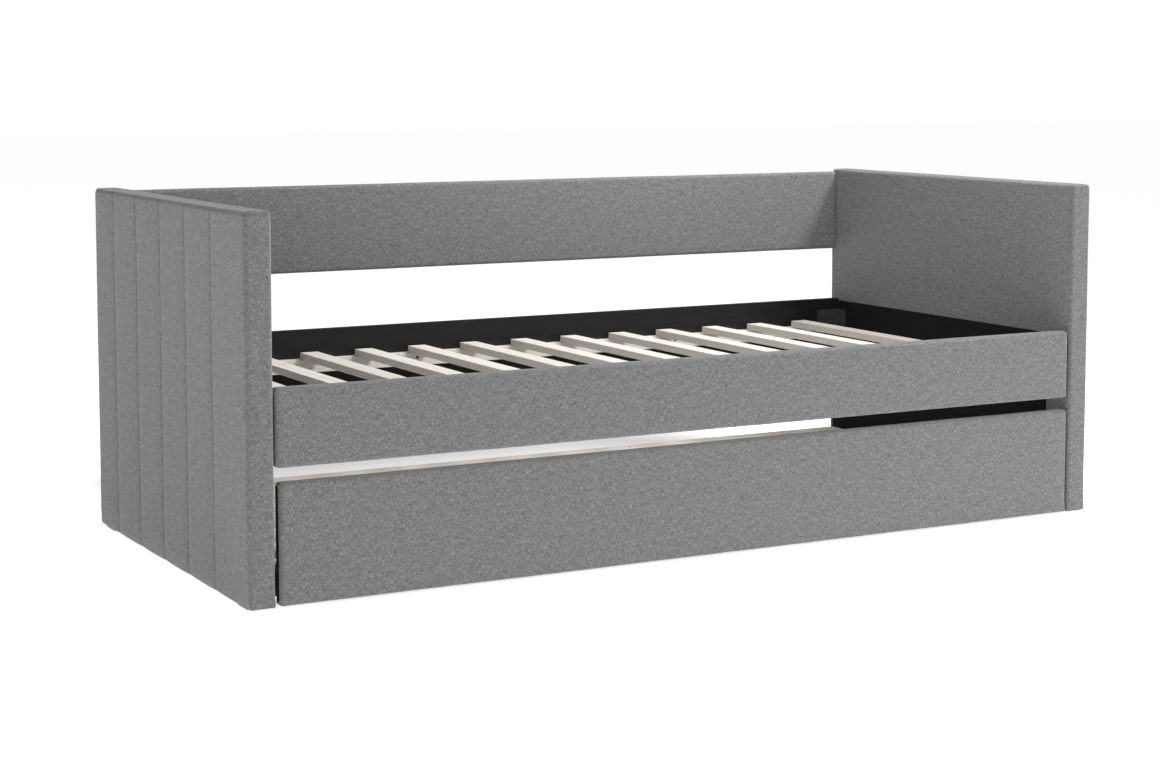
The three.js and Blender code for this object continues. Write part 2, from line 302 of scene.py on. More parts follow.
def simulate_crowns(sizes):
    """Cloth simulation: the covers, cut a little full and held at borders and seams, are pushed
    out by their padding. Returns one height function per face, from 0 to about 1."""
    points, faces, pinned, grids = cloth_panels(sizes)
    panel = make_object("cloth_panels", points, faces)
    group = panel.vertex_groups.new(name="held")
    group.add(pinned, 1.0, "REPLACE")
    cloth = panel.modifiers.new("Cloth", "CLOTH")
    for setting, value in CLOTH.items():
        setattr(cloth.settings, setting, value)
    cloth.settings.vertex_group_mass = "held"
    cloth.settings.effector_weights.gravity = 1.0
    scene = bpy.context.scene
    scene.gravity = (0.0, 0.0, GRAVITY)
    for step in range(1, CLOTH_FRAMES + 1):
        scene.frame_set(step)
    posed = panel.evaluated_get(bpy.context.evaluated_depsgraph_get())
    settled = np.empty(len(posed.data.vertices) * 3)
    posed.data.vertices.foreach_get("co", settled)
    heights = settled.reshape(-1, 3)[:, 2]
    scene.gravity = (0.0, 0.0, -GRAVITY)
    scene.frame_set(1)
    crowns = {}
    for name, (start, columns, rows) in grids.items():
        table = heights[start:start + len(columns) * len(rows)].reshape(len(columns), len(rows))
        table = np.tanh(PADDING_LIMIT * table / np.percentile(table, 95)) / math.tanh(PADDING_LIMIT)
        crowns[name] = table_height(columns, rows, table)
    bpy.data.objects.remove(panel)
    return crowns


def table_height(columns, rows, table):
    """Height at any point of a panel, read between the points of a table."""

    def height(u, v):
        u = np.clip(u, columns[0], columns[-1])
        v = np.clip(v, rows[0], rows[-1])
        i = np.clip(np.searchsorted(columns, u) - 1, 0, len(columns) - 2)
        j = np.clip(np.searchsorted(rows, v) - 1, 0, len(rows) - 2)
        s = (u - columns[i]) / (columns[i + 1] - columns[i])
        t = (v - rows[j]) / (rows[j + 1] - rows[j])
        low = table[i, j] * (1 - s) + table[i + 1, j] * s
        high = table[i, j + 1] * (1 - s) + table[i + 1, j + 1] * s
        return low * (1 - t) + high * t

    return height


PANELS = panel_sizes()
CROWNS = simulate_crowns(PANELS)


# ---- Shader nodes ----

def put(tree, kind, inputs=None, **settings):
    """A new shader node with its settings, and each of its inputs linked or set."""
    made = tree.nodes.new(kind)
    for name, value in settings.items():
        setattr(made, name, value)
    for name, value in (inputs or {}).items():
        if isinstance(value, bpy.types.NodeSocket):
            tree.links.new(value, made.inputs[name])
        else:
            made.inputs[name].default_value = value
    return made


def maths(tree, operation, first, second=0.0, third=0.0):
    made = put(tree, "ShaderNodeMath", {0: first, 1: second, 2: third}, operation=operation)
    return made.outputs[0]


def scaled(tree, vector, by):
    made = put(tree, "ShaderNodeVectorMath", {0: vector, 1: by}, operation="MULTIPLY")
    return made.outputs[0]


def object_place(tree):
    return put(tree, "ShaderNodeTexCoord").outputs["Object"]


def grain(tree, vector, scale, detail, roughness=0.55):
    """Noise from about 0 to 1, with so many features in a unit along each axis."""
    fine = scaled(tree, vector, scale)
    wanted = {"Vector": fine, "Scale": 1.0, "Detail": detail, "Roughness": roughness}
    return put(tree, "ShaderNodeTexNoise", wanted).outputs["Fac"]


def chips(tree, vector, scale):
    """Small cells side by side."""
    wanted = {"Vector": scaled(tree, vector, scale), "Scale": 1.0}
    return put(tree, "ShaderNodeTexVoronoi", wanted).outputs


def spread(tree, value, low, high):
    """A value from 0 to 1 moved to the range from low to high."""
    wanted = {"Value": value, "To Min": low, "To Max": high}
    return put(tree, "ShaderNodeMapRange", wanted).outputs["Result"]


def ramp(tree, value, stops):
    made = put(tree, "ShaderNodeValToRGB", {"Fac": value})
    bar = made.color_ramp
    bar.elements[0].position, bar.elements[0].color = stops[0][0], (*stops[0][1], 1.0)
    bar.elements[1].position, bar.elements[1].color = stops[-1][0], (*stops[-1][1], 1.0)
    for position, colour in stops[1:-1]:
        bar.elements.new(position).color = (*colour, 1.0)
    return made.outputs["Color"]


def grey(level, warmth=0.0):
    return (level * (1 + warmth), level, level * (1 - warmth))


def times(tree, colour, factor):
    """A colour made lighter or darker by a factor that varies over the surface."""
    made = put(tree, "ShaderNodeVectorMath", {0: colour, "Scale": factor}, operation="SCALE")
    return made.outputs[0]


def bumped(tree, height, strength, distance):
    wanted = {"Height": height, "Strength": strength, "Distance": distance}
    return put(tree, "ShaderNodeBump", wanted).outputs["Normal"]


def finish_of(name, **constants):
    """A material with one Principled shader, whose plain numbers are set on its own sockets."""
    material = bpy.data.materials.new(name)
    material.use_nodes = True
    shader = material.node_tree.nodes["Principled BSDF"]
    for socket, value in constants.items():
        shader.inputs[socket.replace("_", " ")].default_value = value
    return material, material.node_tree, shader


def drive(tree, shader, **sockets):
    for name, output in sockets.items():
        tree.links.new(output, shader.inputs[name.replace("_", " ")])


# ---- Materials ----

THREAD = 0.0012  # spacing of the threads of the cover fabric
SLUB = 7.0  # length of a slub, in threads
HEATHER = (0.0230, 0.0085)  # size of the largest flecks of a lighter or darker grey

def cover_fabric():
    """Mid-grey heather: plain weave of slubby warp and weft threads of mixed greys, with painted shade
    along the seams.
    """
    material, tree, shader = finish_of(
        "grey_fabric", Roughness=0.92, Sheen_Roughness=0.45, Specular_IOR_Level=0.20
    )
    uv = put(tree, "ShaderNodeUVMap", uv_map="weave").outputs["UV"]
    per_thread = 1.0 / THREAD
    thread = scaled(tree, uv, (per_thread, per_thread, 0.0))
    warp = grain(tree, thread, (1.0, 1.0 / SLUB, 1.0), 1.0)
    weft = grain(tree, thread, (1.0 / SLUB, 1.0, 1.0), 1.0)
    parts = put(tree, "ShaderNodeSeparateXYZ", {0: thread})
    across = maths(tree, "SINE", maths(tree, "MULTIPLY", parts.outputs["X"], math.pi))
    along = maths(tree, "SINE", maths(tree, "MULTIPLY", parts.outputs["Y"], math.pi))
    weave = maths(tree, "MULTIPLY", across, along)
    over = maths(tree, "MULTIPLY_ADD", weave, 1.5, 0.5)
    over = maths(tree, "MINIMUM", maths(tree, "MAXIMUM", over, 0.0), 1.0)
    shown = put(tree, "ShaderNodeMix", {0: over, 2: weft, 3: warp}, data_type="FLOAT").outputs[0]
    tone = ramp(tree, shown, [(0.28, grey(0.075)), (0.5, grey(0.162)), (0.72, grey(0.318))])
    patches = spread(tree, grain(tree, uv, (30.0, 30.0, 0.0), 3.0), 0.90, 1.10)
    flecks = grain(tree, uv, (1.0 / HEATHER[0], 1.0 / HEATHER[1], 0.0), 4.0, 0.88)
    patches = maths(tree, "MULTIPLY", patches, spread(tree, flecks, 0.40, 1.60))
    # painted shade: the seam field makes the cloth darker along the seams and in the folds at the
    # corners of the boards
    seam = put(tree, "ShaderNodeAttribute", attribute_name="seam").outputs["Fac"]
    flecks_and_seam_shade = maths(tree, "MULTIPLY", patches, spread(tree, seam, 1.0, 0.78))
    tone = times(tree, tone, flecks_and_seam_shade)
    fuzz = grain(tree, thread, (2.2, 2.2, 0.0), 1.0)
    height = maths(tree, "MULTIPLY_ADD", fuzz, 0.5, maths(tree, "MULTIPLY_ADD", shown, 0.8, weave))
    drive(tree, shader, Base_Color=tone, Normal=bumped(tree, height, 0.55, 0.00035))
    drive(tree, shader, Sheen_Weight=maths(tree, "MULTIPLY", flecks_and_seam_shade, 0.42))
    return material


def sewing_thread():
    """Twisted polyester thread, darker than the cloth."""
    material, tree, shader = finish_of(
        "sewing_thread", Roughness=0.7, Sheen_Weight=0.3, Specular_IOR_Level=0.3
    )
    at = object_place(tree)
    twist = grain(tree, at, (2600.0, 2600.0, 1500.0), 2.0)
    tone = ramp(tree, twist, [(0.3, grey(0.045)), (0.75, grey(0.12))])
    drive(tree, shader, Base_Color=tone, Normal=bumped(tree, twist, 0.6, 0.0002))
    return material


def nonwoven_lining():
    """Black spun-bonded cloth with its small pressed dots."""
    material, tree, shader = finish_of(
        "black_lining", Roughness=0.9, Sheen_Weight=0.04, Specular_IOR_Level=0.12
    )
    at = object_place(tree)
    fibres = grain(tree, at, (900.0, 900.0, 260.0), 3.0)
    dots = chips(tree, at, (520.0, 520.0, 520.0))["Distance"]
    creases = grain(tree, at, (14.0, 14.0, 22.0), 3.0)
    tone = ramp(tree, fibres, [(0.3, grey(0.0030)), (0.75, grey(0.0085))])
    height = maths(tree, "MULTIPLY_ADD", creases, 6.0, maths(tree, "ADD", fibres, dots))
    drive(tree, shader, Base_Color=tone, Normal=bumped(tree, height, 0.5, 0.0003))
    drive(tree, shader, Roughness=spread(tree, fibres, 0.78, 0.95))
    return material


def foil_board():
    """Black foil on board, with a faint pressed grain along X and lighter scuffs."""
    material, tree, shader = finish_of("black_board", Specular_IOR_Level=0.30)
    at = object_place(tree)
    pores = grain(tree, at, (45.0, 900.0, 900.0), 3.0)
    cloud = grain(tree, at, (6.0, 9.0, 9.0), 4.0)
    scuff = grain(tree, at, (60.0, 140.0, 140.0), 5.0, 0.7)
    tone = ramp(tree, pores, [(0.3, grey(0.0060)), (0.8, grey(0.0150))])
    tone = times(tree, tone, spread(tree, scuff, 0.75, 1.3))
    drive(tree, shader, Base_Color=tone, Normal=bumped(tree, pores, 0.25, 0.0002))
    drive(tree, shader, Roughness=spread(tree, cloud, 0.42, 0.66))
    return material


def particle_board():
    """Raw particle board: pale and dark chips pressed together."""
    material, tree, shader = finish_of("core_board", Roughness=0.85, Specular_IOR_Level=0.3)
    at = object_place(tree)
    colour = chips(tree, at, (340.0, 210.0, 420.0))["Color"]
    tint = put(tree, "ShaderNodeSeparateColor", {0: colour}).outputs[0]
    dust = grain(tree, at, (900.0, 900.0, 900.0), 2.0)
    browns = [(0.1, (0.20, 0.14, 0.085)), (0.55, (0.36, 0.27, 0.17)), (0.95, (0.50, 0.40, 0.27))]
    tone = times(tree, ramp(tree, tint, browns), spread(tree, dust, 0.8, 1.2))
    height = maths(tree, "ADD", tint, dust)
    drive(tree, shader, Base_Color=tone, Normal=bumped(tree, height, 0.5, 0.0005))
    return material


PALE_WOOD = [(0.0, (0.770, 0.735, 0.672)), (0.55, (0.715, 0.675, 0.608)), (1.0, (0.555, 0.504, 0.430))]


def along_grain(along, slow, fast):
    """Features in a metre: few along the grain and many across it."""
    return tuple(slow if axis == along else fast for axis in "XYZ")


def pale_wood(name, along, seed):
    """Planed softwood with rings round a heart outside the piece, and fibres along it."""
    material, tree, shader = finish_of(name, Specular_IOR_Level=0.35)
    chance = np.random.default_rng(seed)
    across = "Y" if along == "X" else "X"
    at = object_place(tree)
    offset = tuple(chance.uniform(-5.0, 5.0, 3))
    moved = put(tree, "ShaderNodeVectorMath", {0: at, 1: offset}, operation="ADD").outputs[0]
    wander = grain(tree, moved, along_grain(along, 2.2, 14.0), 3.0)
    fibres = grain(tree, moved, along_grain(along, 22.0, 900.0), 3.0, 0.65)
    flecks = grain(tree, moved, along_grain(along, 90.0, 1600.0), 1.0)
    parts = put(tree, "ShaderNodeSeparateXYZ", {0: moved})
    side = maths(tree, "ADD", parts.outputs[across], chance.uniform(-0.03, 0.03))
    side = maths(tree, "PINGPONG", side, 0.35)
    depth = maths(tree, "PINGPONG", parts.outputs["Z"], 0.5)
    depth = maths(tree, "ADD", depth, chance.uniform(0.02, 0.06))
    squares = [maths(tree, "POWER", distance, 2.0) for distance in (side, depth)]
    reach = maths(tree, "SQRT", maths(tree, "ADD", *squares))
    reach = maths(tree, "MULTIPLY_ADD", wander, 0.022, reach)
    ring = maths(tree, "FRACT", maths(tree, "MULTIPLY", reach, chance.uniform(190.0, 260.0)))
    late = maths(tree, "POWER", ring, 4.0)
    own = chance.uniform(0.94, 1.05)
    streaks = spread(tree, fibres, 0.90 * own, 1.10 * own)
    streaks = maths(tree, "MULTIPLY", streaks, spread(tree, flecks, 0.95, 1.05))
    tone = times(tree, ramp(tree, late, PALE_WOOD), streaks)
    height = maths(tree, "MULTIPLY_ADD", fibres, 0.7, maths(tree, "MULTIPLY", late, 0.5))
    drive(tree, shader, Base_Color=tone, Normal=bumped(tree, height, 0.35, 0.0003))
    drive(tree, shader, Roughness=spread(tree, fibres, 0.5, 0.75))
    return material


def coated_steel():
    """Black powder coat with its orange-peel texture."""
    material, tree, shader = finish_of("black_steel", Specular_IOR_Level=0.55)
    at = object_place(tree)
    peel = grain(tree, at, (850.0, 850.0, 850.0), 2.0)
    cloud = grain(tree, at, (60.0, 60.0, 60.0), 3.0)
    tone = ramp(tree, peel, [(0.3, grey(0.030)), (0.8, grey(0.075))])
    drive(tree, shader, Base_Color=tone, Normal=bumped(tree, peel, 0.4, 0.0004))
    drive(tree, shader, Roughness=spread(tree, cloud, 0.34, 0.55))
    return material


def plated_steel():
    """Zinc-plated steel, brushed by wear."""
    material, tree, shader = finish_of("bare_steel", Metallic=1.0)
    at = object_place(tree)
    brushed = grain(tree, at, (300.0, 1800.0, 1800.0), 3.0)
    cloud = grain(tree, at, (120.0, 120.0, 120.0), 3.0)
    tone = ramp(tree, cloud, [(0.3, grey(0.36, 0.02)), (0.75, grey(0.58))])
    drive(tree, shader, Base_Color=tone, Normal=bumped(tree, brushed, 0.2, 0.0002))
    drive(tree, shader, Roughness=spread(tree, cloud, 0.25, 0.5))
    return material


def moulded_plastic(name, level, rough):
    """Black moulded plastic with a fine spark-eroded texture and duller patches."""
    material, tree, shader = finish_of(name, Specular_IOR_Level=0.45)
    at = object_place(tree)
    texture = grain(tree, at, (1400.0, 1400.0, 1400.0), 2.0)
    cloud = grain(tree, at, (90.0, 90.0, 90.0), 3.0)
    tone = ramp(tree, cloud, [(0.3, grey(level * 0.8)), (0.8, grey(level * 1.5))])
    drive(tree, shader, Base_Color=tone, Normal=bumped(tree, texture, 0.3, 0.0002))
    drive(tree, shader, Roughness=spread(tree, cloud, rough - 0.08, rough + 0.12))
    return material


FABRIC = cover_fabric()
SEWING_THREAD = sewing_thread()
LINING = nonwoven_lining()
BOARD = foil_board()
CORE_BOARD = particle_board()
BLACK_STEEL = coated_steel()
BARE_STEEL = plated_steel()
GLIDE_PLASTIC = moulded_plastic("glide_plastic", 0.020, 0.45)
WHEEL_PLASTIC = moulded_plastic("wheel_plastic", 0.016, 0.5)


def wear(made, material):
    """Gives an object one material."""
    made.data.materials.clear()
    made.data.materials.append(material)
    return made


def dress(made, material, body):
    """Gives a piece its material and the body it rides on."""
    wear(made, material)
    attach(made, body)


# ---- Upholstery ----

def step_lines(*edges):
    """Grid lines just inside and outside each step in a surface."""
    return [edge + d for edge in edges for d in (-0.0004, 0.0004)]


def seam_lines(seams):
    """Grid lines on each seam and close to both sides of it."""
    to_both_sides = [-d for d in SEAM_LINES[:0:-1]] + SEAM_LINES
    return [s + d for s in seams for d in to_both_sides]


def groove(distance, depth, half_width):
    """A sewn seam: a narrow valley, and the padding drawn down a little to each side."""
    valley = 0.7 * bell(distance, half_width)
    return -depth * (valley + 0.3 * np.exp(-distance / (4 * half_width)))


def puckers(points, distance, reach, height, seed):
    """Small gathers that fade away from a seam."""
    fine = soft_noise(points, (0.011, 0.011, 0.05), seed)
    broad = soft_noise(points, (0.024, 0.024, 0.09), seed + 1)
    return height * (fine + 0.5 * broad) * np.exp(-distance / reach)


def loose_cloth(points, height, seed):
    """Slow unevenness of padding under cloth."""
    broad = soft_noise(points, (0.16, 0.16, 0.12), seed)
    small = soft_noise(points, (0.05, 0.05, 0.045), seed + 1)
    return height * (broad + 0.35 * small)


def wandering_seam(z, seed):
    """How far a channel seam strays from its straight line at each height."""
    at = np.stack([np.zeros_like(z), np.zeros_like(z), z], axis=1)
    return SEAM_WANDER["height"] * soft_noise(at, (1.0, 1.0, SEAM_WANDER["length"]), seed)


def outer_and_inner(low, high, sign):
    """X of the outer and the inner face of an arm."""
    return (high.x, low.x) if sign > 0 else (low.x, high.x)


def arm_relief(side, sign, plain):
    """How far the cover of an arm stands out at points of its plain box, and the painted shade along
    its seams, which is near 1 where it is darkest and 0 away from it."""
    low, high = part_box(f"{side}_arm_cover")
    lining_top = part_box(f"{side}_arm_lining")[1].z
    seed = 11 if sign > 0 else 47
    x, y, z = plain.T
    outer, inner = outer_and_inner(low, high, sign)
    drop = high.z - z

    on_outer = bell(x - outer, OUTER_FADE) * smoothstep(0.0, TOP_SEAM_DROP, drop)
    past_seam = np.stack([y - s for s in CHANNEL_SEAMS])
    nearest = np.argmin(np.abs(past_seam), axis=0)
    past_seam = np.take_along_axis(past_seam, nearest[None], axis=0)[0]
    to_seam = np.abs(past_seam)
    crown = CROWNS["arm_outer"](y - low.y, z - low.z + TURN_UNDER)
    fold = FOLDED_EDGE["height"] * bell(past_seam + FOLDED_EDGE["off"], FOLDED_EDGE["width"])
    sewn = groove(to_seam, SEAM_DEPTH, SEAM_HALF_WIDTH)
    move = on_outer * (CROWN["arm_outer"] * crown + sewn + fold)

    on_inner = bell(x - inner, FACE_FADE)
    over_lining = smoothstep(lining_top, lining_top + 0.05, z)
    crown = CROWNS["arm_inner"](y - low.y, z - low.z + TURN_UNDER)
    move += on_inner * over_lining * CROWN["arm_inner"] * crown

    sewn_side = np.minimum.reduce([np.abs(x - outer), y - low.y, high.y - y])
    to_strip = np.abs(drop - TOP_SEAM_DROP) + sewn_side
    move += groove(to_strip, TOP_SEAM_DEPTH, SEAM_HALF_WIDTH)
    off_gather = ((past_seam + GATHER["off"]) ** 2 + (to_strip * 0.7) ** 2) / GATHER["reach"] ** 2
    gather = np.exp(-off_gather)
    move += GATHER["height"] * gather * bell(x - outer, FACE_FADE)
    move += puckers(plain, to_strip, *PUCKERS["strip"], seed)
    move += on_outer * puckers(plain, to_seam, *PUCKERS["channel"], seed + 2)
    exposed = 1.0 - on_inner * (1.0 - over_lining)
    move += exposed * loose_cloth(plain, LOOSE_CLOTH["arm"], seed + 4)

    from_front = (y - low.y) / (high.y - low.y)
    channel = on_outer * channel_shade(y, z, to_seam, drop, from_front)
    return move, np.maximum(channel, (1.0 - gather) * strip_shade(x, y, to_strip))


def channel_shade(y, z, to_seam, drop, from_front):
    """How dark the painted shade along a channel seam is: uneven, and less near the top and the front.
    """
    unevenly = 0.75 + 0.25 * np.sin(math.tau * (z / 0.037 + y / 0.113))
    below_top = 0.45 + 0.55 * smoothstep(0.02, 0.22, drop)
    return bell(to_seam, SEAM_SHADE) * unevenly * below_top * (0.60 + 0.40 * from_front)


def strip_shade(x, y, to_strip):
    """How dark the painted shade along the seam under the strip over an arm is, in a broken line."""
    broken = 0.55 + 0.35 * np.sin(math.tau * (y / 0.023 + x / 0.017))
    return bell(to_strip, SEAM_SHADE) * broken


def arm_upholstery(side, sign):
    """Arm cover: channels sewn into the outer face, a strip sewn over the top, plain inside."""
    node = f"{side}_arm_cover"
    low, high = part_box(node)
    core_low, core_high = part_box(f"{side}_arm_core")
    near_top = [high.z - d for d in (0.012, 0.016, 0.021, 0.028)]
    across_seams = seam_lines(CHANNEL_SEAMS) + step_lines(core_low.y, core_high.y)
    lines = [
        axis_lines(low.x, high.x, ARM_RADIUS, 0.006, step_lines(core_low.x, core_high.x)),
        axis_lines(low.y, high.y, ARM_RADIUS, 0.0075, across_seams),
        axis_lines(low.z, high.z, ARM_RADIUS, 0.012, near_top),
    ]
    plain, points, normals, faces, axes = rounded_grid(lines, ARM_RADIUS, FOOT_RADIUS)
    move, seam = arm_relief(side, sign, plain)
    points = points + normals * move[:, None]
    opening = {0: (core_low.x, core_high.x), 1: (core_low.y, core_high.y)}
    points[:, 2] += pocket_depth(plain, 2, low.z, opening, POCKET["arm"])
    outer, inner = outer_and_inner(low, high, sign)
    lower_edge = np.exp(-(plain[:, 2] - low.z) / LOWER_TUCK["reach"])
    lower_edge *= bell(plain[:, 0] - outer, OUTER_FADE)
    points[:, 0] -= sign * LOWER_TUCK["depth"] * lower_edge
    off_inner_face = smoothstep(0.004, 0.012, np.abs(plain[:, 0] - inner))
    for place in CHANNEL_SEAMS:
        beside = off_inner_face * bell(plain[:, 1] - place, SEAM_WANDER["reach"])
        points[:, 1] += beside * wandering_seam(plain[:, 2], round(place * 1000))
    made = make_object(f"{side}_arm_upholstery", points, faces)
    add_weave_map(made, axes)
    # painted shade along the seams, which darkens the cloth
    add_field(made, "seam", seam)
    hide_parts(node)
    return made


def pocket_depth(plain, axis, level, opening, depth):
    """How far the surface goes in where the board fills the opening of a cover."""
    inside = np.abs(plain[:, axis] - level) < 1e-6
    for across, (start, end) in opening.items():
        inside &= (plain[:, across] > start) & (plain[:, across] < end)
    return np.where(inside, depth, 0.0)


def board_upholstery(name, panel, seed, foot=None):
    """Cover of a board: a crowned front face, pulled over the edges and open at the back."""
    node = f"{name}_cover"
    low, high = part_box(node)
    core_low, core_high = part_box(f"{name}_core")
    lines = [
        axis_lines(low.x, high.x, BOARD_RADIUS, 0.009, step_lines(core_low.x, core_high.x)),
        axis_lines(low.y, high.y, BOARD_RADIUS, 0.006),
        axis_lines(low.z, high.z, BOARD_RADIUS, 0.008, step_lines(core_low.z, core_high.z)),
    ]
    plain, points, normals, faces, axes = rounded_grid(lines, BOARD_RADIUS, foot)
    x, y, z = plain.T
    crown = CROWNS[panel](x - low.x, z - low.z)
    move = bell(y - low.y, FACE_FADE) * CROWN[panel] * (crown - 0.25)
    edge = np.minimum.reduce([x - low.x, high.x - x, z - low.z, high.z - z])
    edge = np.where(np.abs(y - low.y) < 1e-6, edge, 0.0) + (y - low.y)
    move += puckers(plain[:, [0, 2, 1]], edge, *PUCKERS["board"], seed)
    away = smoothstep(0.0, FACE_FADE, high.y - y)
    move += away * loose_cloth(plain, LOOSE_CLOTH["board"], seed + 2)
    corner = np.minimum(x - low.x, high.x - x) + np.minimum(z - low.z, high.z - z)
    fold = bell(corner, CORNER_FOLD["width"]) * smoothstep(0.004, 0.010, y - low.y)
    move -= CORNER_FOLD["depth"] * fold
    points = points + normals * move[:, None]
    opening = {0: (core_low.x, core_high.x), 2: (core_low.z, core_high.z)}
    points[:, 1] -= pocket_depth(plain, 1, high.y, opening, POCKET["board"])
    made = make_object(f"{name}_upholstery", points, faces)
    add_weave_map(made, axes)
    # painted shade: the cloth is darker in the folds at the corners
    add_field(made, "seam", 0.5 * fold)
    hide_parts(node)
    return made


def dress_cover(made, body):
    dress(made, FABRIC, body)


for side, sign in SIDES:
    dress_cover(arm_upholstery(side, sign), "bed")
dress_cover(board_upholstery("back_panel", "back", 71), "bed")
dress_cover(board_upholstery("front_rail", "rail", 83), "bed")
dress_cover(board_upholstery("trundle_front", "trundle", 97, FOOT_RADIUS), "trundle")


# ---- Stitches and staples ----

def small_bars(centres, along, up, length, radius):
    """Short round bars with pointed ends, one at each centre, as points and faces."""
    sides = 6
    stations = [(-0.5, 0.0), (-0.36, 0.85), (0.0, 1.0), (0.36, 0.85), (0.5, 0.0)]
    turns = [2.0 * math.pi * k / sides for k in range(sides)]
    template = []
    for reach, girth in stations:
        round_here = girth * radius
        for a in turns if girth > 0 else turns[:1]:
            template.append((reach * length, round_here * math.cos(a), round_here * math.sin(a)))
    template = np.array(template)
    across = np.cross(up, along)
    axes = np.stack([along, across, up], axis=1)
    points = centres[:, None, :] + np.einsum("pk,nkc->npc", template, axes)
    faces = []
    for ring in range(2):
        a = 1 + ring * sides
        for k in range(sides):
            n = (k + 1) % sides
            faces.append([a + k, a + sides + k, a + sides + n, a + n])
    last = len(template) - 1
    for k in range(sides):
        n = (k + 1) % sides
        faces.append([0, 1 + k, 1 + n])
        faces.append([last, last - sides + n, last - sides + k])
    every = [[v + i * len(template) for v in face] for i in range(len(centres)) for face in faces]
    return points.reshape(-1, 3), every


def spaced(low, high, pitch):
    count = max(1, round((high - low) / pitch))
    return low + (high - low) * (np.arange(count) + 0.5) / count


def beside(*columns):
    """One row of coordinates for each point, from a list of values or one value for each axis."""
    return np.stack(np.broadcast_arrays(*columns), axis=1)


def stitch_lines(low, high, outer):
    """Where thread shows on an arm: a list of (points on the plain box, direction of sewing)."""
    heights = spaced(low.z + 0.016, high.z - 0.012, STITCH["pitch"])
    runs = [(beside(outer, place, heights), (0.0, 0.0, 1.0)) for place in CHANNEL_SEAMS]
    level = high.z - TOP_SEAM_DROP
    along = spaced(low.y + ARM_RADIUS, high.y - ARM_RADIUS, STITCH["pitch"])
    runs.append((beside(outer, along, level), (0.0, 1.0, 0.0)))
    across = spaced(low.x + ARM_RADIUS, high.x - ARM_RADIUS, STITCH["pitch"])
    runs += [(beside(across, end, level), (1.0, 0.0, 0.0)) for end in (low.y, high.y)]
    return runs


def arm_stitching(side, sign):
    low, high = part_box(f"{side}_arm_cover")
    outer, _ = outer_and_inner(low, high, sign)
    parts = []
    for plain, direction in stitch_lines(low, high, outer):
        points, normals = rounded_points(plain, low, high, ARM_RADIUS, FOOT_RADIUS)
        move, _ = arm_relief(side, sign, plain)
        points = points + normals * move[:, None]
        if direction[2]:
            points[:, 1] += wandering_seam(plain[:, 2], round(plain[0, 1] * 1000))
        along = np.tile(direction, (len(plain), 1))
        parts.append(small_bars(points, along, normals, STITCH["length"], STITCH["radius"]))
    made = make_object(f"{side}_arm_stitching", *joined(parts))
    dress(made, SEWING_THREAD, "bed")


for side, sign in SIDES:
    arm_stitching(side, sign)


def closed_sheet(columns, rows, flip):
    """Faces of a thin closed sheet: a front grid, a back grid and the edge between them."""
    count = columns * rows
    faces = []
    for i in range(columns - 1):
        for j in range(rows - 1):
            a = i * rows + j
            front = [a, a + 1, a + rows + 1, a + rows]
            faces.append(front)
            faces.append([count + v for v in reversed(front)])
    rim = [i * rows for i in range(columns)]
    rim += [(columns - 1) * rows + j for j in range(1, rows)]
    rim += [i * rows + rows - 1 for i in range(columns - 2, -1, -1)]
    rim += [j for j in range(rows - 2, 0, -1)]
    for a, b in zip(rim, rim[1:] + rim[:1]):
        faces.append([a, b, count + b, count + a])
    return [face[::-1] for face in faces] if flip else faces


MARGIN = {"width": 0.026, "from_edge": 0.006, "thickness": 0.0011}
STAPLES = {"pitch": 0.045, "from_fold": 0.013}


def margin_strip(start, along, inward, length, seed):
    """A turned-over edge of cloth lying on the back of a board, with a slightly uneven cut."""
    columns, rows = max(6, round(length / 0.006)) + 1, 8
    t, w = np.meshgrid(np.linspace(0, 1, columns), np.linspace(0, 1, rows), indexing="ij")
    t, w = t.ravel(), w.ravel()
    run = beside(t * length, 0.0, 0.0)
    cut = 1.0 + 0.05 * soft_noise(run, (0.035, 1.0, 1.0), seed)
    cut += 0.025 * soft_noise(run, (0.009, 1.0, 1.0), seed + 1)
    depth = w * MARGIN["width"] * cut
    run = beside(t * length, depth, 0.0)
    to_staple = np.abs((t * length / STAPLES["pitch"]) % 1.0 - 0.5) * STAPLES["pitch"]
    held = bell(to_staple, 0.010) * bell(depth - STAPLES["from_fold"], 0.007)
    waves = 0.35 * soft_noise(run, (0.02, 0.011, 1.0), seed + 2)
    height = MARGIN["thickness"] * (1.0 + waves - 0.45 * held) * smoothstep(-0.1, 0.25, w)
    place = np.array(start) + np.outer(t * length, along) + np.outer(depth, inward)
    top = place + np.outer(height, (0.0, 1.0, 0.0))
    flip = np.cross(along, inward)[1] > 0
    return np.concatenate([top, place]), closed_sheet(columns, rows, flip)


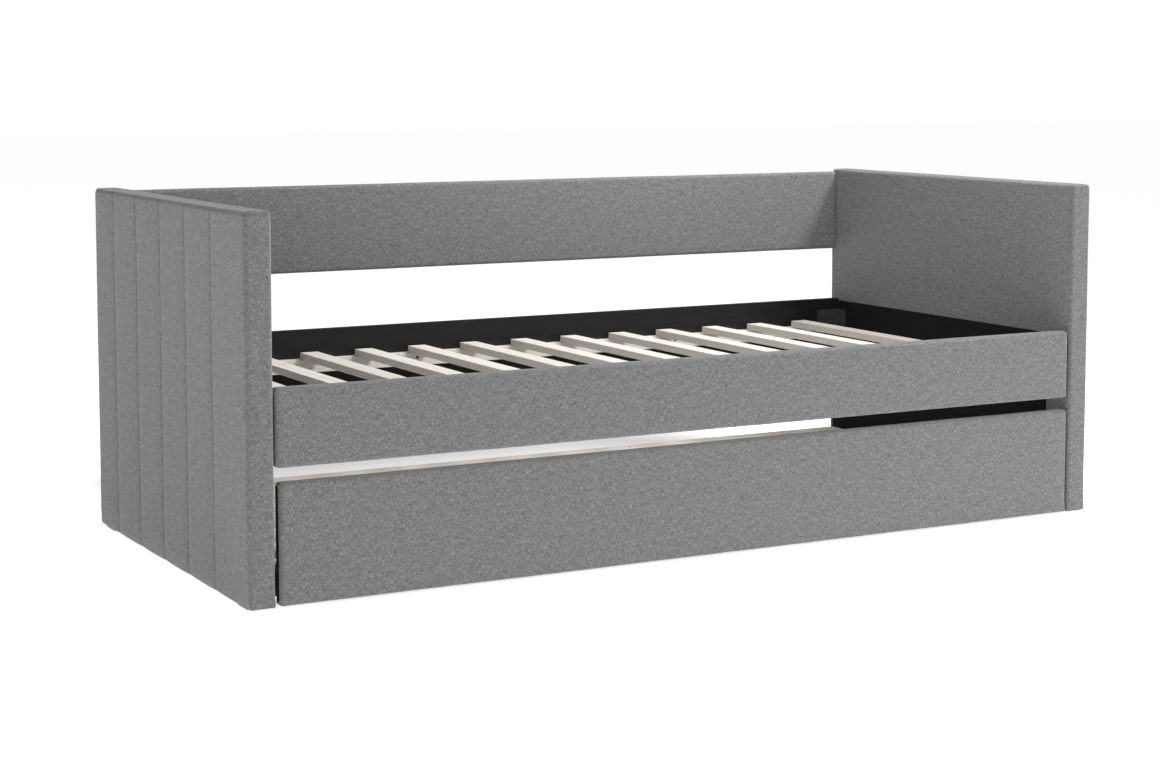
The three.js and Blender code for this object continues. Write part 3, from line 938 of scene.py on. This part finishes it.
def turned_margins(name, body, sides, seed):
    """The margins of a board's cover on its back, and the staples that hold them."""
    low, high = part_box(f"{name}_cover")
    back = high.y + 0.0001
    inset = MARGIN["from_edge"]
    x0, x1, z0, z1 = low.x + inset, high.x - inset, low.z + inset, high.z - inset
    trim = MARGIN["width"] * 0.9
    runs = {
        "top": ((x0, back, z1), (1, 0, 0), (0, 0, -1), x1 - x0),
        "bottom": ((x0, back, z0), (1, 0, 0), (0, 0, 1), x1 - x0),
        "left": ((x0, back, z0 + trim), (0, 0, 1), (1, 0, 0), z1 - z0 - 2 * trim),
        "right": ((x1, back, z0 + trim), (0, 0, 1), (-1, 0, 0), z1 - z0 - 2 * trim),
    }
    strips, staples, total = [], [], 0.0
    for i, side in enumerate(sides):
        start, along, inward, length = runs[side]
        along, inward = np.array(along, dtype=float), np.array(inward, dtype=float)
        strips.append(margin_strip(start, along, inward, length, seed + 5 * i))
        at = (np.arange(int(length / STAPLES["pitch"])) + 0.5) * STAPLES["pitch"]
        centres = np.array(start) + np.outer(at, along) + STAPLES["from_fold"] * inward
        centres[:, 1] += 0.6 * MARGIN["thickness"]
        skew = 0.5 * soft_noise(centres, (0.03, 0.03, 0.03), seed + 5 * i + 3)
        lie = along[None] + skew[:, None] * inward[None]
        lie /= np.linalg.norm(lie, axis=1)[:, None]
        up = np.tile((0.0, 1.0, 0.0), (len(at), 1))
        staples.append(small_bars(centres, lie, up, STAPLE["length"], STAPLE["radius"]))
        total += length
    cloth = make_object(f"{name}_turned_margins", *joined(strips))
    add_weave_map(cloth, np.full(len(cloth.data.polygons), 1))
    add_field(cloth, "seam", np.zeros(len(cloth.data.vertices)))
    dress(cloth, FABRIC, body)
    dress(make_object(f"{name}_staples", *joined(staples)), BARE_STEEL, body)


turned_margins("back_panel", "bed", ("top", "bottom", "left", "right"), 501)
turned_margins("front_rail", "bed", ("top",), 531)
turned_margins("trundle_front", "trundle", ("top",), 561)


# a black sheet that paints the shade on each end of the trundle front
END_PAINTED_SHADE = {"front": 0.0120, "rear": 0.0010, "top": 0.0070, "thickness": 0.0008}


def end_painted_shade(name, body, side, sign):
    """A thin black sheet over the rear part of one end of an upholstered board: painted shade on that
    end face.
    """
    low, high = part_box(f"{name}_cover")
    face = high.x if sign > 0 else low.x
    depth = high.y - low.y - END_PAINTED_SHADE["front"] - END_PAINTED_SHADE["rear"]
    height = high.z - low.z - 2 * END_PAINTED_SHADE["top"]
    columns, rows = 8, 60
    v, w = np.meshgrid(np.linspace(0, depth, columns), np.linspace(0, height, rows), indexing="ij")
    v, w = v.ravel(), w.ravel()
    flat = beside(0.0, v, w)
    away_from_edge = np.minimum.reduce([v, depth - v, w, height - w])
    stand = END_PAINTED_SHADE["thickness"] * (1.0 + 0.2 * soft_noise(flat, (0.02, 0.02, 0.03), 9))
    stand *= 0.55 + 0.45 * smoothstep(0.0, 0.003, away_from_edge)
    past_turn = np.maximum(0.0, low.y + END_PAINTED_SHADE["front"] + v - (high.y - BOARD_RADIUS))
    behind = face - sign * (BOARD_RADIUS - np.sqrt(BOARD_RADIUS ** 2 - past_turn ** 2))
    shown = behind + sign * stand
    inside = behind - sign * 0.0004
    y, z = low.y + END_PAINTED_SHADE["front"] + v, low.z + END_PAINTED_SHADE["top"] + w
    points = np.concatenate([beside(shown, y, z), beside(inside, y, z)])
    made = make_object(f"{name}_end_painted_shade_{side}", points, closed_sheet(columns, rows, sign < 0))
    dress(made, LINING, body)


for side, sign in SIDES:
    end_painted_shade("trundle_front", "trundle", side, sign)


# ---- Linings ----

HEM = 0.012
LINING_GRID = (110, 56)


def lining_sheet(side, sign):
    """Black cloth pulled flat over the lower inner face of an arm, with its edges turned under."""
    node = f"{side}_arm_lining"
    low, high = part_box(node)
    behind, face = outer_and_inner(low, high, sign)
    width, height = high.y - low.y, high.z - low.z
    columns, rows = LINING_GRID
    v, w = np.meshgrid(np.linspace(0, width, columns), np.linspace(0, height, rows), indexing="ij")
    v, w = v.ravel(), w.ravel()
    flat = beside(0.0, v, w)
    edge = np.minimum.reduce([v, width - v, w, height - w])
    hem = 1.0 - smoothstep(HEM - 0.001, HEM + 0.001, edge)
    waves = 0.00035 * (1 + soft_noise(flat, (0.05, 0.05, 0.09), 5))
    stand = 0.0005 + 0.0006 * hem + waves * (1 - hem)
    stand = np.minimum(stand, abs(behind - face) - 1e-4)
    shown = behind + np.sign(face - behind) * stand
    y, z = low.y + v, low.z + w
    points = np.concatenate([beside(shown, y, z), beside(behind, y, z)])
    made = make_object(f"{side}_lining_cloth", points, closed_sheet(columns, rows, sign < 0))
    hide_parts(node)
    dress(made, LINING, "bed")


for side, sign in SIDES:
    lining_sheet(side, sign)


# ---- Small metal pieces ----

def placed(points, centre, outward):
    """Points made round +Z, turned to face outward and moved to a centre."""
    turn = Vector((0.0, 0.0, 1.0)).rotation_difference(Vector(outward)).to_matrix()
    return [tuple(turn @ Vector(p) + Vector(centre)) for p in points]


SCREW_SIDES = 12
SCREW_PROFILE = [(1.0, 0.0), (1.0, 0.25), (0.94, 0.6), (0.8, 0.85), (0.66, 0.96), (0.58, 1.0)]


def screw_head(radius, height):
    """Pan head with a cross recess, standing on z = 0."""
    step = 360 / SCREW_SIDES
    angles = [math.radians(step * (k + 0.5)) for k in range(SCREW_SIDES)]
    points = []
    for share, rise in SCREW_PROFILE:
        ring = share * radius
        points += [(ring * math.cos(a), ring * math.sin(a), rise * height) for a in angles]
    long, short = 0.5 * radius, 0.5 * radius * math.tan(math.radians(15))
    cross = []
    for c, s in ((1, 0), (0, 1), (-1, 0), (0, -1)):
        for u, v in ((long, short), (short, short)):
            cross.append((u * c - v * s, u * s + v * c))
        cross.append((short * c - long * s, short * s + long * c))
    for depth, shrink in ((1.0, 1.0), (0.35, 0.6)):
        points += [(u * shrink, v * shrink, depth * height) for u, v in cross]
    faces = []
    last = len(SCREW_PROFILE) + 1
    for ring in range(last):
        for k in range(SCREW_SIDES):
            a, b = ring * SCREW_SIDES + k, ring * SCREW_SIDES + (k + 1) % SCREW_SIDES
            faces.append([a, b, b + SCREW_SIDES, a + SCREW_SIDES])
    faces.append([last * SCREW_SIDES + k for k in range(SCREW_SIDES)])
    return points, faces


STEEL = {"black_steel": BLACK_STEEL, "bare_steel": BARE_STEEL}


def screws(name, places, size, slot, body):
    """One object holding a screw head of (radius, height) at each (centre, outward) place."""
    points, faces = screw_head(*size)
    parts = [(placed(points, centre, outward), faces) for centre, outward in places]
    made = make_object(name, *joined(parts))
    made.modifiers.new("Edges", "EDGE_SPLIT").split_angle = math.radians(40)
    dress(made, STEEL[slot], body)


BRACKET_SCREW = (0.0042, 0.0020)  # radius and height of the head
BRACKET = {"plate": 0.003, "rows": (0.011, 0.033), "on_rail": (0.0245, 0.056), "on_arm": 0.0192}


def bracket_screws(end, side):
    low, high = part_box(f"bracket_{end}_{side}")
    to_right = 1 if side == "right" else -1
    to_rear = 1 if end == "rear" else -1
    corner_x = high.x if to_right > 0 else low.x
    corner_y = high.y if to_rear > 0 else low.y
    arm_face = corner_x - to_right * BRACKET["plate"]
    rail_face = corner_y - to_rear * BRACKET["plate"]
    places = []
    for row in BRACKET["rows"]:
        z = low.z + row
        for along in BRACKET["on_rail"]:
            places.append(((corner_x - to_right * along, rail_face, z), (0, -to_rear, 0)))
        across = corner_y - to_rear * BRACKET["on_arm"]
        places.append(((arm_face, across, z), (-to_right, 0, 0)))
    screws(f"bracket_screws_{end}_{side}", places, BRACKET_SCREW, "black_steel", "bed")


for end in ("front", "rear"):
    for side, _ in SIDES:
        bracket_screws(end, side)


LEDGE_SCREW = (0.0036, 0.0016)
LEDGE_SCREW_X = [-0.6375 + 0.3635 * i for i in range(5)]
LEDGE_SCREW_DROP = 0.011  # below the top of the ledge
SLAT_SCREW = (0.0034, 0.0009)
BOARD_SCREW = (0.0036, 0.0010)
BOARD_SCREW_HEIGHTS = (0.27, 0.73)  # as shares of the board's height
TRUNDLE_SLATS = 7
TRUNDLE_CROSS = ("trundle_left_board", "trundle_bearer_1", "trundle_bearer_2", "trundle_right_board")


def ledge_screws(end):
    """Screws through a slat ledge into its rail."""
    low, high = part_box(f"{end}_slat_ledge")
    y, outward = (low.y, -1) if end == "rear" else (high.y, 1)
    places = [((x, y, high.z - LEDGE_SCREW_DROP), (0, outward, 0)) for x in LEDGE_SCREW_X]
    screws(f"{end}_ledge_screws", places, LEDGE_SCREW, "black_steel", "bed")


def middle(node, axis):
    low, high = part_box(node)
    return (low[axis] + high[axis]) / 2


def trundle_slat_screws():
    """Screws through each lengthwise slat into the end boards and bearers."""
    places = []
    for slat in [f"trundle_slat_{i + 1}" for i in range(TRUNDLE_SLATS)]:
        y, top = middle(slat, 1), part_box(slat)[1].z
        places += [((middle(board, 0), y, top), (0, 0, 1)) for board in TRUNDLE_CROSS]
    screws("trundle_slat_screws", places, SLAT_SCREW, "bare_steel", "trundle")


def trundle_board_screws():
    """Screws through the rear board into the ends of the end boards and bearers."""
    low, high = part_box("trundle_rear_board")
    heights = [low.z + (high.z - low.z) * share for share in BOARD_SCREW_HEIGHTS]
    places = [((middle(board, 0), high.y, z), (0, 1, 0)) for board in TRUNDLE_CROSS for z in heights]
    screws("trundle_board_screws", places, BOARD_SCREW, "black_steel", "trundle")


for end in ("front", "rear"):
    ledge_screws(end)
trundle_slat_screws()
trundle_board_screws()


# ---- CAD nodes that stay ----

BEVELS = {"wood": 0.0016, "board": 0.0008, "metal": 0.0005, "plastic": 0.0008}


def carry(node, material, bevel):
    """Gives a CAD node its material, and softens its edges without changing its mesh."""
    made = wear(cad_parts[node], material)
    edge = made.modifiers.new("Softened_edges", "BEVEL")
    edge.width = BEVELS[bevel]
    edge.segments = 2
    edge.limit_method = "ANGLE"
    edge.angle_limit = math.radians(35)
    edge.harden_normals = True


def nodes_named(*starts):
    return sorted(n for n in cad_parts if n.startswith(starts))


WOODEN = [  # how the names start, the way the grain runs, and the first seed
    (("bed_slat_",), "Y", 101),
    (("trundle_slat_",), "X", 201),
    (("front_slat_ledge", "rear_slat_ledge"), "X", 300),
    (("trundle_bearer_",), "Y", 400),
]
OTHERS = [  # how the names start, the material and the bevel
    (("rear_rail", "trundle_left_board", "trundle_right_board", "trundle_rear_board"), BOARD, "board"),
    (("back_panel_core", "front_rail_core", "trundle_front_core"), BOARD, "board"),
    (("left_arm_core", "right_arm_core"), CORE_BOARD, "board"),
    (("bracket_", "wheel_fork_"), BLACK_STEEL, "metal"),
    (("wheel_axle_",), BARE_STEEL, "metal"),
    (("glide_",), GLIDE_PLASTIC, "plastic"),
    (("wheel_front_", "wheel_rear_"), WHEEL_PLASTIC, "plastic"),
]
for starts, along, first_seed in WOODEN:
    for i, node in enumerate(nodes_named(*starts)):
        carry(node, pale_wood(f"{node}_wood", along, first_seed + i), "wood")
for starts, material, bevel in OTHERS:
    for node in nodes_named(*starts):
        carry(node, material, bevel)


# ---- Floor, light and camera ----

def glow_of_floor(tree):
    """The glow of the floor, with a painted shadow: most of the glow is taken away under the bed and
    close behind it.
    """
    place = put(tree, "ShaderNodeSeparateXYZ", {0: object_place(tree)})
    shade = 1.0
    for axis in (0, 1):
        off = maths(tree, "SUBTRACT", place.outputs[axis], FLOOR_SHADE["centre"][axis])
        beyond = maths(tree, "SUBTRACT", maths(tree, "ABSOLUTE", off), FLOOR_SHADE["half"][axis])
        wanted = {"Value": beyond, "From Max": FLOOR_SHADE["fade"], "To Min": 1.0, "To Max": 0.0}
        inside = put(tree, "ShaderNodeMapRange", wanted, interpolation_type="SMOOTHSTEP")
        shade = maths(tree, "MULTIPLY", inside.outputs["Result"], shade)
    return spread(tree, shade, FLOOR_GLOW, FLOOR_GLOW * FLOOR_SHADE["keep"])


def pale_floor():
    half = FLOOR_SIZE / 2
    corners = [(-half, -half, 0.0), (half, -half, 0.0), (half, half, 0.0), (-half, half, 0.0)]
    floor = make_object("floor", corners, [(0, 1, 2, 3)], smooth=False)
    material, tree, shader = finish_of("pale_floor", Roughness=0.9, Specular_IOR_Level=0.1)
    shader.inputs["Base Color"].default_value = FLOOR_GREY
    shader.inputs["Emission Color"].default_value = WHITE
    drive(tree, shader, Emission_Strength=glow_of_floor(tree))
    wear(floor, material)


def area_light(name, spec):
    light = bpy.data.lights.new(name, "AREA")
    light.shape = "SQUARE"
    light.size = spec["size"]
    light.energy = spec["power"]
    made = bpy.data.objects.new(name, light)
    made.location = spec["at"]
    aim = Vector(spec["to"]) - Vector(spec["at"])
    made.rotation_euler = aim.to_track_quat("-Z", "Y").to_euler()
    bpy.context.scene.collection.objects.link(made)


def studio():
    world = bpy.data.worlds.new("studio")
    world.use_nodes = True
    tree = world.node_tree
    room = tree.nodes["Background"]
    room.inputs["Color"].default_value = WHITE
    room.inputs["Strength"].default_value = WORLD_LIGHT
    white = put(tree, "ShaderNodeBackground", {"Color": WHITE, "Strength": 1.0})
    seen = put(tree, "ShaderNodeLightPath").outputs["Is Camera Ray"]
    either = put(tree, "ShaderNodeMixShader", {0: seen, 1: room.outputs[0], 2: white.outputs[0]})
    tree.links.new(either.outputs[0], tree.nodes["World Output"].inputs["Surface"])
    bpy.context.scene.world = world
    for name, spec in LIGHTS.items():
        area_light(name, spec)
    bpy.context.scene.view_settings.view_transform = "Standard"


def camera():
    data = bpy.data.cameras.new("camera")
    data.sensor_width = CAMERA_SENSOR
    data.lens = CAMERA_LENS
    data.shift_y = CAMERA_SHIFT
    data.clip_end = 200.0
    made = bpy.data.objects.new("camera", data)
    yaw, pitch = math.radians(CAMERA_YAW), math.radians(CAMERA_PITCH)
    look = Vector((math.sin(yaw) * math.cos(pitch), math.cos(yaw) * math.cos(pitch), math.sin(pitch)))
    made.location = CAMERA_AT
    made.rotation_euler = look.to_track_quat("-Z", "Y").to_euler()
    bpy.context.scene.collection.objects.link(made)
    bpy.context.scene.camera = made


pale_floor()
studio()
camera()
